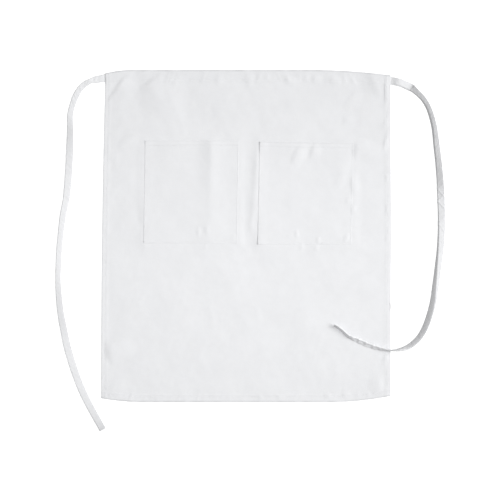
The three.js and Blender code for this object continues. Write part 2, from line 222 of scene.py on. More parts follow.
def tie_sections(rows, creases, seed):
    """Ring centres, and for each place the upper and lower line of the section."""
    dense = smooth_rows(rows, TIE_STEPS_PER_ROW)
    place = dense[:, :2]
    heading = np.gradient(place, axis=0)
    heading /= np.linalg.norm(heading, axis=1)[:, None]
    aside = np.stack([heading[:, 1], -heading[:, 0]], axis=1)
    crease = 1 - 2 * np.clip(dense[:, 2], 0.04, 0.96)
    right, left = np.radians(dense[:, 3]), np.radians(dense[:, 4])
    past = ramp((ACROSS[None, :] - crease[:, None] + CREASE_HALF) / (2 * CREASE_HALF))
    toward_rim = np.clip((ACROSS[None, :] - crease[:, None]) / (1 - crease[:, None]), 0, 1)
    curl = TIE_CURL * hump((right - CURL_MOST_AT) / CURL_SPAN)
    dropped = right[:, None] + curl[:, None] * (2 * toward_rim - 1)
    rise = left[:, None] * (1 - past) - dropped * past
    gaps = np.diff(ACROSS) * TIE_WIDTH / 2
    middle_rise = (rise[:, 1:] + rise[:, :-1]) / 2
    edge = np.zeros((len(dense), 1))
    sideways = np.hstack([edge, np.cumsum(np.cos(middle_rise) * gaps, 1)])
    height = np.hstack([edge, np.cumsum(np.sin(middle_rise) * gaps, 1)])
    sideways -= (sideways.min(axis=1) + sideways.max(axis=1))[:, None] / 2
    height -= height.min(axis=1)[:, None]
    height += np.maximum(dense[:, 5], 0)[:, None] + TIE_THICK / 2
    walk = np.concatenate([[0], np.cumsum(np.linalg.norm(np.diff(place, axis=0), axis=1))])
    draw = random.Random(seed)
    waves = [(draw.uniform(0.008, 0.030), draw.uniform(-0.6, 0.6), draw.uniform(0, 6.28)) for _ in range(7)]
    flutter = sum(
        np.sin(6.283 * (walk[:, None] + ACROSS * lean * 0.02) / length + phase)
        for length, lean, phase in waves
    )
    free = ramp((walk - SEAT_DEPTH) / 0.02)[:, None]
    calm = np.clip(1 - np.abs(ACROSS) / TIE_STITCH_AT, 0, 1) ** 0.5
    thick = TIE_THICK / 2 * PILLOW[None, :] * (1 + 0.10 * flutter * free * calm)
    bulge = np.zeros_like(thick)
    for x, y, slant, half, high in creases:
        at = walk[np.argmin(np.hypot(place[:, 0] - x, place[:, 1] - y))]
        bulge += high * hump((walk[:, None] - at - slant * ACROSS * TIE_WIDTH / 2) / half)
    lines = []
    for sign in (1, -1):
        off = sideways - (bulge + sign * thick) * np.sin(rise)
        up = np.maximum(height + (bulge + sign * thick) * np.cos(rise), TIE_LOWEST)
        xy = place[:, None, :] + off[:, :, None] * aside[:, None, :]
        lines.append(np.concatenate([xy, up[:, :, None]], axis=2))
    centre = len(ACROSS) // 2
    centres = (lines[0][:, centre] + lines[1][:, centre]) / 2
    return centres, lines[0], lines[1], walk


print("points across a tie:", len(ACROSS))

# %% Loft the ties
def loft_tie(name, upper, lower, walk):
    """A closed tape from its upper and lower lines, with UVs along and across it in metres."""
    rings = np.concatenate([upper, lower[:, ::-1]], axis=1)
    steps, ring = rings.shape[:2]
    faces, uvs = [], []
    around = np.concatenate([ACROSS, 2 + ACROSS]) * TIE_WIDTH / 2
    for i in range(steps - 1):
        for k in range(ring):
            n = (k + 1) % ring
            faces.append((i * ring + k, (i + 1) * ring + k, (i + 1) * ring + n, i * ring + n))
            u = (around[k], around[n] if n else around[k])
            uvs += [(u[0], walk[i]), (u[0], walk[i + 1]), (u[1], walk[i + 1]), (u[1], walk[i])]
    for end, order in ((0, range(ring)), (steps - 1, range(ring - 1, -1, -1))):
        faces.append(tuple(end * ring + k for k in order))
        uvs += [(around[k], walk[end]) for k in order]
    return mesh_object(name, rings.reshape(-1, 3), faces, uvs)


tie_lines, ties = {}, {}
for seed, (name, tie) in enumerate(TIES.items()):
    tie_lines[name] = tie_sections(with_seat(tie), TIE_CREASES[name], seed + 3)
    ties[name] = loft_tie(name + "_cloth", *tie_lines[name][1:])
    print(name, "length", round(tie_lines[name][3][-1], 4), "faces", len(ties[name].data.polygons))

# %% [markdown]
# ## The panel
# A sewer cuts a rectangle with extra cloth on every side, folds that extra under and stitches it.
# The panel is made the same way: a grid is the cut cloth, with close lines where it folds and where
# it is stitched, and every point is then carried to its place. Points past a fold line go under.
# The waist and bottom edges draw in at the corners, the left edge leans and the right edge bows
# out a little.

# %% Sizes of the panel and its fold lines
WIDTH, LENGTH = 0.717, 0.823
LEAN, LEAN_FROM, LEAN_TO, LEAN_BEND = 0.010, -0.400, 0.375, 2.1
BULGE, BULGE_AT, BULGE_REACH = 0.0018, 0.020, 0.240
CLOTH = 0.00045
LAYER = 0.00018
BEND, BEND_ROUND = 0.0011, 0.0007
SIDE_HEM, BOTTOM_HEM, WAIST_HEM = 0.011, 0.015, 0.026
HEM_SETTLE = 0.007
STITCH_INSET = 0.0016
CELL_ACROSS, CELL_ALONG, POCKET_CELL = 0.0036, 0.0054, 0.0030
CORNERS = [
    ("waist", -1, 0.0114, 0.078),
    ("waist", 1, 0.0133, 0.200),
    ("bottom", -1, 0.0096, 0.105),
    ("bottom", 1, 0.0152, 0.150),
]


def hem_lines(depth, stitch):
    """Distances from a fold line: negative on the flap, close together at the bend and the stitches."""
    flap = [-depth, -0.7 * depth, -0.4 * depth, -2 * BEND]
    bend = [-BEND, -0.5 * BEND, 0, 0.5 * BEND, BEND]
    inside = list(np.arange(2 * BEND, stitch - 0.002, 0.0025))
    seam = [stitch - 0.001, stitch, stitch + 0.001]
    settle = list(depth + HEM_SETTLE * np.array([0.1, 0.25, 0.4, 0.6, 0.8, 1.0]))
    return flap + bend + inside + seam + settle


def grid_lines(start, end, total, cell):
    """Lines from one hem to the other, with even cells between them."""
    last, first = start[-1], total - end[-1]
    count = round((first - last) / cell)
    middle = list(np.linspace(last, first, count + 1)[1:-1])
    return np.array(start + middle + [total - d for d in end][::-1])


HEM_DEPTHS = (SIDE_HEM, BOTTOM_HEM, WAIST_HEM)
side, bottom, waist = (hem_lines(depth, depth - STITCH_INSET) for depth in HEM_DEPTHS)
panel_a = grid_lines(side, side, WIDTH, CELL_ACROSS)
panel_b = grid_lines(bottom, waist, LENGTH, CELL_ALONG)
print("panel lines:", len(panel_a), "by", len(panel_b))

# %% [markdown]
# Cloth that lies on a surface is never quite flat. Everything that lifts it is a height added to
# the flat sheet: single folds and upright ridges as the photo shows them, the pockets, which hold
# the cloth a little off the surface, a slow drift over the whole panel, and the fine mottling and
# faint creases of handling. A cloth simulation would choose its own folds, but rows of a table
# put each one where it lies, and a seeded draw serves for those too faint to place. All are
# smooth humps, so no kink shows.

# %% Places of the pockets
POCKET_WIDTH, POCKET_HEIGHT = 0.233, 0.255
# Each pocket also gives how strong the painted shade along its mouth is.
POCKETS = {
    "pocket_left": {
        "x": -0.250, "y": -0.018, "shift": -0.004, "drop": 0.0,
        "edge": 0.00008, "proud": 0.0, "tack": 1.4, "mouth_shade": 0.06,
    },
    "pocket_right": {
        "x": 0.034, "y": -0.021, "shift": -0.005, "drop": 0.0038,
        "edge": 0.00010, "proud": 0.00020, "tack": 0.35, "mouth_shade": 0.12,
    },
}
POCKET_LIFT, POCKET_LIFT_REACH = 0.0005, 0.020
print("pockets:", list(POCKETS))

# %% Folds and ridges, each in its place
# In millimetres and degrees: x, y, direction, half length, half width to its left and right, height.
FOLD_TABLE = [
    # waist, left end
    (-315, 365, 54, 60, 12, 50, 1.8),
    (-234, 378, 36, 42, 14, 40, 1.6),
    (-214, 347, 52, 70, 45, 85, 1.5),
    (-176, 316, 75, 50, 65, 36, 0.85),
    (-292, 236, 38, 49.6, 17.4, 24.8, 0.85),
    # waist, right end
    (262, 341, 47, 34.7, 12.4, 29.8, 0.85),
    (249, 286, 42, 19.8, 11.2, 22.3, 0.68),
    (322, 372, 112, 44, 18, 13, 0.62),
    # along the waist hem
    (-177, 383, 70, 16, 6.5, 14, 0.55),
    (-67, 387, 76, 19, 8.5, 17, 0.85),
    (6, 388, 86, 19, 8.5, 18, 0.8),
    (33, 392, 80, 14.9, 7.4, 6.2, 0.42),
    (52, 392, 80, 14.9, 6.2, 7.4, 0.42),
    (105, 387, 78, 15, 13.5, 28, 1.05),
    (149, 392, 80, 12.4, 8.7, 8.7, 0.42),
    (173, 389, 80, 15, 13, 20, 0.75),
    (218, 387, 80, 15, 16.5, 26, 1.15),
    (242, 391, 88, 18, 6, 10, 0.7),
    # along the right hem
    (346, 362, 90, 42, 4.5, 15, 1.05),
    (343, 325, 42, 12, 6, 11, 0.45),
    (343, 278, 46, 16, 6.2, 12, 0.7),
    (345.5, 231, 78, 27, 6.5, 10, 0.8),
    (349, 144, 90, 9.9, 6, 6.2, 0.68),
    (350, 66, 90, 14.9, 6, 6.2, 0.51),
    (350, -5, 90, 7.4, 6, 6.2, 0.51),
    (345, -305, 69, 19.8, 7.4, 9.9, 0.85),
    # beside the right pocket
    (279, 214, 82, 34, 16.5, 80, 1.95),
    (266, 124, 100, 29.8, 9.9, 23, 0.9),
    (253, 89, 49, 14.9, 8.7, 9.9, 0.59),
    (266, 66, 80, 14.9, 7.4, 9.9, 0.68),
    (249, -4, 65, 14.9, 7.4, 9.9, 0.76),
    (235, 143, 72, 38, 22, 20, 0.72),
    # under the right pocket's mouth
    (128, 202, 64, 38, 15.5, 26, 1.4),
    (168, 211, 68, 23, 11.5, 24, 1.2),
    (240, 180, 80, 48, 42, 28, 0.62),
    # at the bottom seams of the pockets
    (-118, 10, 90, 17, 6, 8.7, 0.62),
    (-98, 14, 92, 15, 6, 12, 0.56),
    (-100, -25, 84, 9.9, 7, 8.7, 0.56),
    (-31, -3, 90, 14.9, 9.9, 9.9, 0.34),
    (126, 5, 92, 14.9, 8, 9, 0.75),
    (179, -10, 90, 12, 7.4, 8.7, 0.72),
    (175, -30, 88, 9.9, 7.4, 7.4, 0.72),
    (138, -27, 90, 9.9, 8, 8.7, 0.62),
    # lower panel and bottom hem
    (-331, -287, 100, 38, 23, 70, 1.7),
    (-337, -289, 108, 26, 13, 26, 0.4),
    (-255, 42, 85, 12.4, 12.4, 12.4, 0.42),
    (328, -370, 79, 33, 30, 17, 1.25),
    (84, -400, 100, 11, 8.5, 14, 0.62),
    (200, -396, 95, 12, 8, 16, 0.65),
    (246, -391, 95, 13, 11, 18, 0.85),
    (-332, -387, 35, 44.6, 29.8, 34.7, 1.03),
]
# Upright ridges by the pockets, in millimetres: x and y of the top, x and y of the bottom, rise
# before the crest, fall after it, height at the top and at the bottom.
RIDGE_TABLE = [
    (-86, 223, -90.5, -5, 36, 42, 2, 0.5),
    (-18.4, 223, -18.4, -10, 17, 19, 0.22, 0.26),
    (33, 233, 28, -15, 20, 99, 0.36, 0.42),
    (27, 185, 14, 25, 18, 17, 0.85, 1.05),
    (111.8, 213, 111.8, -10, 22, 79, 0.3, 0.25),
]
FOLDS = [(x / 1000, y / 1000, turn, *(size / 1000 for size in sizes)) for x, y, turn, *sizes in FOLD_TABLE]
RIDGES = [[size / 1000 for size in row] for row in RIDGE_TABLE]
RIDGE_FADE = 0.030
print(len(FOLDS), "folds,", len(RIDGES), "ridges")

# %% Drift, mottling and faint creases
draw = random.Random(41)
CREASES = [
    (
        draw.uniform(-0.34, 0.34),
        draw.uniform(-0.39, 0.37),
        draw.gauss(60, 35),
        draw.uniform(0.015, 0.060),
        draw.uniform(0.006, 0.014),
        draw.uniform(0.006, 0.016),
        draw.uniform(0.00004, 0.00016),
    )
    for _ in range(110)
]


def slow_waves(seed, count, low, high):
    """Wave number, direction and phase of a set of waves."""
    draw = random.Random(seed)
    return [(draw.uniform(low, high), draw.uniform(0, 6.283), draw.uniform(0, 6.283)) for _ in range(count)]


DRIFT, DRIFT_HEIGHT = slow_waves(12, 9, 18, 52), 0.00010
MOTTLE, MOTTLE_HEIGHT = slow_waves(23, 40, 80, 400), 0.000028
print(len(CREASES), "creases,", len(DRIFT) + len(MOTTLE), "waves")

# %% Height of the cloth anywhere on the panel
def fold_height(x, y, rows):
    """Height of oval folds that lie in any direction, with a near and a far flank."""
    total = np.zeros_like(x)
    for fx, fy, turn, long, near, far, high in rows:
        c, s = math.cos(math.radians(turn)), math.sin(math.radians(turn))
        along = ((x - fx) * c + (y - fy) * s) / long
        across = (y - fy) * c - (x - fx) * s
        across = np.where(across > 0, across / near, across / far)
        total += high * np.clip(1 - along**2 - across**2, 0, None) ** 2
    return total


def ridge_height(x, y):
    """Height of upright ridges, steepest beside a softly rounded crest."""
    total = np.zeros_like(x)
    for top_x, top_y, low_x, low_y, rise, fall, top_high, low_high in RIDGES:
        t = np.clip((top_y - y) / (top_y - low_y), 0, 1)
        off = x - top_x - (low_x - top_x) * t
        flank = np.sqrt(np.where(off < 0, off / rise, off / fall) ** 2 + 0.02) - 0.1414
        ends = ramp((top_y - y) / RIDGE_FADE + 1) * ramp((y - low_y) / RIDGE_FADE + 1)
        total += (top_high + (low_high - top_high) * t) * ends * np.clip(1 - flank, 0, None) ** 2
    return total


def wave_height(x, y, waves, falls=0):
    """Sum of the waves. Where falls is 1, short waves are lower than long ones."""
    return sum(np.sin(k * (x * math.cos(t) + y * math.sin(t)) + p) * (100 / k) ** falls for k, t, p in waves)


def beside(x, y, pocket):
    """How far a point is outside a pocket's outline, 0 within it."""
    gx = np.maximum(pocket["x"] + pocket["shift"] / 2 - x, x - pocket["x"] - POCKET_WIDTH)
    gy = np.maximum(pocket["y"] - y, y - pocket["y"] - POCKET_HEIGHT)
    return np.hypot(np.maximum(gx, 0), np.maximum(gy, 0))


def panel_relief(x, y, creased=1.0):
    """Height of the panel's cloth above where a flat sheet would lie."""
    total = DRIFT_HEIGHT * (4 + wave_height(x, y, DRIFT)).clip(0, None)
    total += creased * (MOTTLE_HEIGHT * wave_height(x, y, MOTTLE, 1) + fold_height(x, y, CREASES))
    total += fold_height(x, y, FOLDS) + ridge_height(x, y)
    for pocket in POCKETS.values():
        total += POCKET_LIFT * (1 - ramp(beside(x, y, pocket) / POCKET_LIFT_REACH))
    return total


print("height at the middle of the panel:", panel_relief(np.zeros(1), np.zeros(1)))

# %% [markdown]
# Stitching draws cloth together, so a hem is never quite smooth: small ripples cross its row of
# stitches, and the thread sinks into the cloth. Their places and heights come from a seeded draw,
# so the lesson gives the same apron each time.

# %% Puckers along the hems
PUCKER_OUT, PUCKER_IN = 0.030, 0.012
SEAM_GROOVE, SEAM_GROOVE_WIDTH = 0.00012, 0.0024


def hem_puckers(length, seed, strength):
    """Small ripples along a hem: distance, half width, height, slant."""
    draw = random.Random(seed)
    rows, at = [], 0.01
    while at < length:
        high = strength * draw.uniform(0.2, 1) ** 2
        rows.append((at, draw.uniform(0.0045, 0.009), high, draw.uniform(-0.5, 0.5)))
        at += draw.uniform(0.009, 0.024)
    return rows


HEMS = {
    "left": (SIDE_HEM, hem_puckers(LENGTH, 5, 0.00036)),
    "right": (SIDE_HEM, hem_puckers(LENGTH, 6, 0.00050)),
    "bottom": (BOTTOM_HEM, hem_puckers(WIDTH, 7, 0.00050)),
    "waist": (WAIST_HEM, hem_puckers(WIDTH, 8, 0.00060)),
}


def pucker_height(edge, along, inside):
    """Ripples across a row of stitching, and the shallow groove that the thread pulls into the cloth."""
    depth, rows = HEMS[edge]
    away = inside - (depth - STITCH_INSET)
    spread = hump(np.where(away < 0, away / PUCKER_OUT, away / PUCKER_IN))
    total = np.zeros_like(along)
    for at, half, high, slant in rows:
        total += high * hump((along - at - slant * away) / half)
    return total * spread - SEAM_GROOVE * hump(away / SEAM_GROOVE_WIDTH)


print({edge: len(rows) for edge, (_, rows) in HEMS.items()})

# %% [markdown]
# Folding a hem moves the extra cloth under the sheet and lifts the sheet by one layer. Where two
# hems cross at a corner there are four layers, and at the ends of the waist hem the tie lies
# between them. The next function carries any point of the cut cloth to its place, so it makes the
# mesh now and tells later where each stitch goes.

# %% Carry the cut cloth to its place
SEAT_LENGTH, SEAT_FADE, SEAT_SETTLE = 0.026, 0.060, 0.035
SEAT_TOP = SEAT_FLOOR + TIE_THICK + 0.0001 + CLOTH / 2
# Strips along the edges that move as one with them, so that each hem keeps its depth.
SIDE_STRIP, BOTTOM_STRIP, END_STRIPS = 0.053, 0.029, 0.069
LEFT_CURL, RIGHT_CURL = 0.0002, -0.0003


def around_fold(s, bend=BEND, rounding=BEND_ROUND):
    """Distance inside a fold line, and 1 on the face side or 0 on the flap, for a path over the fold."""
    angle = np.clip(s / bend, -1, 1) * math.pi / 2
    inside = rounding * (1 - np.cos(angle)) + np.maximum(np.abs(s) - bend, 0)
    return inside, (1 + np.sin(angle)) / 2


def folded(cut, size, *bend):
    """For a cut with a fold at each end: nearer to the first, distance inside, face side, place."""
    first = cut < size / 2
    inside, face = around_fold(np.where(first, cut, size - cut), *bend)
    return first, inside, face, np.where(first, inside, size - inside)


def edge_y(edge, x):
    """The waist or bottom edge, which draws in towards each corner."""
    drawn = sum(
        draw * np.clip(1 - (WIDTH / 2 - way * x) / reach, 0, 1) ** 2
        for name, way, draw, reach in CORNERS if name == edge
    )
    return LENGTH / 2 - drawn if edge == "waist" else drawn - LENGTH / 2


def layers(face_x, face_y, hem_x, hem_y):
    """How many layers of cloth lie under a point of a sheet with folded hems."""
    upper = face_x * (hem_x + hem_y + hem_x * hem_y) + (1 - face_x) * 2 * hem_y
    lower = (1 - face_x) * hem_x
    return face_y * upper + (1 - face_y) * lower


def panel_place(a, b):
    """The middle of the cloth, in metres, for points of the cut panel."""
    on_left, from_side, face_x, f = folded(a, WIDTH)
    on_bottom, from_end, face_y, g = folded(b, LENGTH)
    lean = LEAN * np.clip((g - LENGTH / 2 - LEAN_FROM) / (LEAN_TO - LEAN_FROM), 0, 1) ** LEAN_BEND
    bulge = BULGE * hump((g - LENGTH / 2 - BULGE_AT) / BULGE_REACH)
    across = np.clip((f - SIDE_STRIP) / (WIDTH - 2 * SIDE_STRIP), 0, 1)
    x = f - WIDTH / 2 + lean * (1 - across) + bulge * across**2
    run = np.clip((g - BOTTOM_STRIP) / (LENGTH - END_STRIPS), 0, 1)
    y = (edge_y("bottom", x) + g) * (1 - run) + (edge_y("waist", x) - LENGTH + g) * run
    end_hem = np.where(on_bottom, BOTTOM_HEM, WAIST_HEM)
    hem_x = 1 - ramp((from_side - SIDE_HEM) / HEM_SETTLE)
    hem_y = 1 - ramp((from_end - end_hem) / HEM_SETTLE)
    height = LAYER * layers(face_x, face_y, hem_x, hem_y)
    seat = (1 - ramp((from_side - SEAT_LENGTH) / SEAT_FADE)) * (~on_bottom)
    seat = seat * (1 - ramp((from_end - WAIST_HEM) / SEAT_SETTLE))
    seat_height = seat * (SEAT_TOP - CLOTH / 2 + LAYER * hem_x * face_x)
    height = face_y * np.maximum(height, seat_height) + (1 - face_y) * height
    puckers = np.where(on_left, pucker_height("left", g, from_side), pucker_height("right", g, from_side))
    puckers = puckers * (1 - hem_y) + np.where(
        on_bottom, pucker_height("bottom", f, from_end), pucker_height("waist", f, from_end)
    )
    puckers = puckers * (0.35 + 0.65 * face_x * face_y) * (1 - seat)
    turned = np.clip(1 - from_side / SIDE_HEM, 0, 1)
    curl = np.where(on_left, LEFT_CURL * turned**2, RIGHT_CURL * turned**1.2)
    z = CLOTH / 2 + height + panel_relief(x, y) + puckers + curl
    return np.stack([x, y, np.maximum(z, CLOTH / 2)], axis=-1)


print("seat top at", SEAT_TOP)

# %% [markdown]
# A hem is pressed with an iron. Along its fold lines the cloth gets a painted shade, most on the left,
# at the waist and bottom edges and where a tie leaves the hem, for the shade at a raised edge. This
# painted shade is one number for every corner of the mesh, which the cloth's material reads as an
# attribute. The sheet itself starts as a plain grid: its points move to their places, the cut measure
# stays with them as UVs, and a Solidify modifier gives the cloth its thickness.

# %% Painted shade along the hems
# Strengths of the painted shade along each fold line, along the bottom hem's row of stitches and at a tie's
# root.
EDGE_REACH, ROW_SHADE = 0.005, 0.05
LEFT_SHADE, RIGHT_SHADE, END_SHADE = 0.22, 0.06, 0.6
ROOT_REACH, LEFT_ROOT_SHADE = 0.013, 0.55
EDGE_WANDER = slow_waves(31, 8, 30, 240)
TIE_ROOTS = [LENGTH / 2 - tie["seat"][1] for tie in TIES.values()]


def painted_edge_shade(a, b):
    """Painted shade along the fold lines and the bottom hem's stitches, most on the left and where a tie
    leaves the hem.
    """
    roots = [hump((LENGTH - b - down) / ROOT_REACH) for down in TIE_ROOTS]
    lines = hump(a / EDGE_REACH) * (LEFT_SHADE + LEFT_ROOT_SHADE * roots[0])
    lines += hump((WIDTH - a) / EDGE_REACH) * (RIGHT_SHADE + roots[1])
    lines += END_SHADE * (hump(b / EDGE_REACH) + hump((LENGTH - b) / EDGE_REACH))
    lines += ROW_SHADE * hump((b - BOTTOM_HEM + STITCH_INSET) / SEAM_GROOVE_WIDTH)
    # The painted shade wanders along the edges and is darker towards the left.
    wander = 0.75 + 0.09 * wave_height(a, b, EDGE_WANDER) - 0.25 * a / WIDTH
    return np.clip(lines, 0, 1) * np.clip(wander, 0.2, 1)


print("edge waves:", len(EDGE_WANDER))

# %% Make the sheet from a grid
def sheet_from_grid(name, lines_a, lines_b, place, thick):
    """A grid with these lines, carried to its place, with its cut measure kept as UVs, then thickened."""
    bpy.ops.object.select_all(action="DESELECT")
    bpy.ops.mesh.primitive_grid_add(x_subdivisions=len(lines_a) - 1, y_subdivisions=len(lines_b) - 1, size=1)
    piece = bpy.context.object
    piece.name = piece.data.name = name
    mesh = piece.data
    flat = np.empty(len(mesh.vertices) * 3)
    mesh.vertices.foreach_get("co", flat)
    flat = flat.reshape(-1, 3)
    column = np.rint((flat[:, 0] + 0.5) * (len(lines_a) - 1)).astype(int)
    row = np.rint((flat[:, 1] + 0.5) * (len(lines_b) - 1)).astype(int)
    a, b = lines_a[column], lines_b[row]
    mesh.vertices.foreach_set("co", place(a, b).ravel())
    corner = np.empty(len(mesh.loops), dtype=int)
    mesh.loops.foreach_get("vertex_index", corner)
    mesh.uv_layers.active.name = "cloth_uv"
    mesh.uv_layers.active.data.foreach_set("uv", np.stack([a[corner], b[corner]], axis=1).ravel())
    mesh.update()
    solid = piece.modifiers.new("cloth", "SOLIDIFY")
    solid.thickness = thick
    solid.offset = 0
    bpy.ops.object.modifier_apply(modifier=solid.name)
    bpy.ops.object.shade_smooth_by_angle(angle=math.radians(50))
    piece.select_set(False)
    return piece


def apply_painted_shade(piece, shade_rule):
    """Give every corner of a sheet its painted shade, from its place on the cut cloth."""
    corner_uv = np.empty(len(piece.data.loops) * 2)
    piece.data.uv_layers.active.data.foreach_get("uv", corner_uv)
    mask = piece.data.attributes.new("painted_edge_shade", "FLOAT", "CORNER")
    mask.data.foreach_set("value", shade_rule(corner_uv[0::2], corner_uv[1::2]))


panel = sheet_from_grid("apron_panel", panel_a, panel_b, panel_place, CLOTH)
# Paint the shade along the panel's fold lines.
apply_painted_shade(panel, painted_edge_shade)
print("panel faces:", len(panel.data.polygons))

# %% [markdown]
# ## The pockets
# A patch pocket is a smaller cut of the same twill. Its sides and bottom are turned under and sewn
# to the panel, and its mouth is hemmed and stays open. It is folded by the same rule as the panel
# and set on the panel's own surface, a little slack, so it shows the same ridges. The corners on
# its left are tacked and stand higher, and on the right pocket the whole left edge stands proud
# and the mouth dips to the right. Along the fold at the mouth and the row of stitches below it the
# cloth gets a painted shade, as the hems do, for the shade of the open mouth.

# %% Sizes and slack of a pocket
POCKET_TURN, POCKET_MOUTH_HEM = 0.010, 0.014
POCKET_STITCH = 0.0024
POCKET_BEND, POCKET_ROUND = 0.0007, 0.0004
POCKET_CLOTH, POCKET_SIT, POCKET_SETTLE = 0.00026, 0.00003, 0.018
POCKET_SLACK, MOUTH_SLACK, SLACK_REACH = 0.0003, 0.0001, 0.06
POCKET_GROOVE, POCKET_GROOVE_WIDTH = 0.00008, 0.0018
TACK_LOW, TACK_HIGH, PROUD_REACH = 0.012, 0.016, 0.035

turn_lines = [-POCKET_TURN, -0.6 * POCKET_TURN, -2 * POCKET_BEND, -POCKET_BEND, 0, POCKET_BEND, 0.0014,
              POCKET_STITCH, 0.0036, 0.006, 0.0085, 0.0112, 0.0142, 0.018]
mouth_lines = hem_lines(POCKET_MOUTH_HEM, POCKET_MOUTH_HEM - STITCH_INSET)
pocket_a = grid_lines(turn_lines, turn_lines, POCKET_WIDTH, POCKET_CELL)
pocket_b = grid_lines(turn_lines, mouth_lines, POCKET_HEIGHT, POCKET_CELL)
print("pocket lines:", len(pocket_a), "by", len(pocket_b))

# %% Carry a cut pocket to its place
def pocket_place(name):
    """The function that carries points of one cut pocket to their place."""
    pocket = POCKETS[name]

    def place(a, b):
        on_left, from_side, face_x, f = folded(a, POCKET_WIDTH, POCKET_BEND, POCKET_ROUND)
        on_bottom, from_end, face_y, g = folded(b, POCKET_HEIGHT, POCKET_BEND, POCKET_ROUND)
        x = pocket["x"] + f + pocket["shift"] * (1 - g / POCKET_HEIGHT)
        y = pocket["y"] + g - pocket["drop"] * g / POCKET_HEIGHT * f / POCKET_WIDTH
        hem_x = 1 - ramp((from_side - POCKET_TURN) / POCKET_SETTLE)
        hem_y = 1 - ramp((from_end - np.where(on_bottom, POCKET_TURN, POCKET_MOUTH_HEM)) / POCKET_SETTLE)
        corners = hump(g / TACK_LOW) + hump((POCKET_HEIGHT - g) / TACK_HIGH)
        tacked = 1 + pocket["tack"] * on_left * corners
        edge = pocket["edge"] + pocket["proud"] * (1 - ramp(f / PROUD_REACH))
        height = edge * tacked * layers(face_x, face_y, hem_x, hem_y)
        slack = POCKET_SLACK + MOUTH_SLACK * ramp(g / POCKET_HEIGHT)
        slack = slack * ramp(from_side / SLACK_REACH) * ramp(g / SLACK_REACH)
        groove = np.minimum(from_side, np.where(on_bottom, from_end, 1)) - POCKET_STITCH
        mouth = np.where(on_bottom, 1, from_end - POCKET_MOUTH_HEM + STITCH_INSET)
        slack = slack - POCKET_GROOVE * hump(groove / POCKET_GROOVE_WIDTH)
        slack = slack - SEAM_GROOVE * hump(mouth / SEAM_GROOVE_WIDTH)
        ground = CLOTH + panel_relief(x, y, 0.5)
        z = ground + POCKET_SIT + POCKET_CLOTH / 2 + height + slack * face_x * face_y
        return np.stack([x, y, z], axis=-1)

    return place


pocket_places = {name: pocket_place(name) for name in POCKETS}
print("ways to place:", list(pocket_places))

# %% Make the pockets and paint shade along their mouths
def mouth_painted_shade(mouth_shade):
    """Painted shade on a pocket along its open mouth and along the row of stitches below it."""
    row = POCKET_HEIGHT - POCKET_MOUTH_HEM + STITCH_INSET

    def shade_rule(a, b):
        return mouth_shade * hump((POCKET_HEIGHT - b) / EDGE_REACH) + ROW_SHADE * hump((row - b) / SEAM_GROOVE_WIDTH)

    return shade_rule


pockets = {
    name: sheet_from_grid(name + "_cloth", pocket_a, pocket_b, place, POCKET_CLOTH)
    for name, place in pocket_places.items()
}
# Paint the shade along each pocket's mouth.
for name, piece in pockets.items():
    apply_painted_shade(piece, mouth_painted_shade(POCKETS[name]["mouth_shade"]))
print({name: len(piece.data.polygons) for name, piece in pockets.items()})

# %% [markdown]
# ## The stitching
# Every hem and seam is held by a row of lockstitch in white thread: short bars of thread that dive
# into the cloth at both ends. One stitch is shaped once, as a six-sided bar of four rings, and then
# copied along each row. The function that placed the cloth also tells where each stitch lies.

# %% One stitch, copied to many places
STITCH_LENGTH, STITCH_PITCH = 0.0025, 0.0030
STITCH_HALF_WIDTH = 0.00030
RING_AT = np.array([-0.5, -0.3, 0.3, 0.5]) * STITCH_LENGTH
RING_SIZE = np.array([0.55, 1.0, 1.0, 0.55])
RING_RISE = np.array([-0.7, 0.35, 0.35, -0.7]) * STITCH_HALF_WIDTH
SIDES = 6


def stitch_mesh(name, spots, ways, ups):
    """All the stitches of one piece as one mesh: middles, directions and surface normals."""
    turn = 2 * math.pi * np.arange(SIDES) / SIDES
    ways = ways / np.linalg.norm(ways, axis=1)[:, None]
    ups = ups / np.linalg.norm(ups, axis=1)[:, None]
    across = np.cross(ups, ways)
    points = []
    for at, size, rise in zip(RING_AT, RING_SIZE, RING_RISE):
        middle = spots + ways * at + ups * rise
        for angle in turn:
            reach = STITCH_HALF_WIDTH * size
            points.append(middle + across * reach * math.cos(angle) + ups * reach * math.sin(angle))
    points = np.stack(points, axis=1)
    rings = len(RING_AT)
    pattern = [
        (r * SIDES + k, r * SIDES + (k + 1) % SIDES, (r + 1) * SIDES + (k + 1) % SIDES, (r + 1) * SIDES + k)
        for r in range(rings - 1) for k in range(SIDES)
    ]
    caps = [tuple(range(SIDES))[::-1], tuple((rings - 1) * SIDES + k for k in range(SIDES))]
    uv_pattern = [
        pair
        for r in range(rings - 1) for k in range(SIDES)
        for pair in ((RING_AT[r], k / SIDES), (RING_AT[r], (k + 1) / SIDES),
                     (RING_AT[r + 1], (k + 1) / SIDES), (RING_AT[r + 1], k / SIDES))
    ] + [(RING_AT[0], 0)] * SIDES + [(RING_AT[-1], 0)] * SIDES
    faces, uvs = [], []
    for n in range(len(spots)):
        base = n * rings * SIDES
        faces += [tuple(base + v for v in face) for face in pattern + caps]
        uvs += uv_pattern
    return mesh_object(name, points.reshape(-1, 3), faces, uvs)


print("faces of one stitch:", SIDES * (len(RING_AT) - 1) + 2)

# %% Stitching along the hems and pockets
SEAM_END, SEAM_PROBE = 0.001, 0.0004


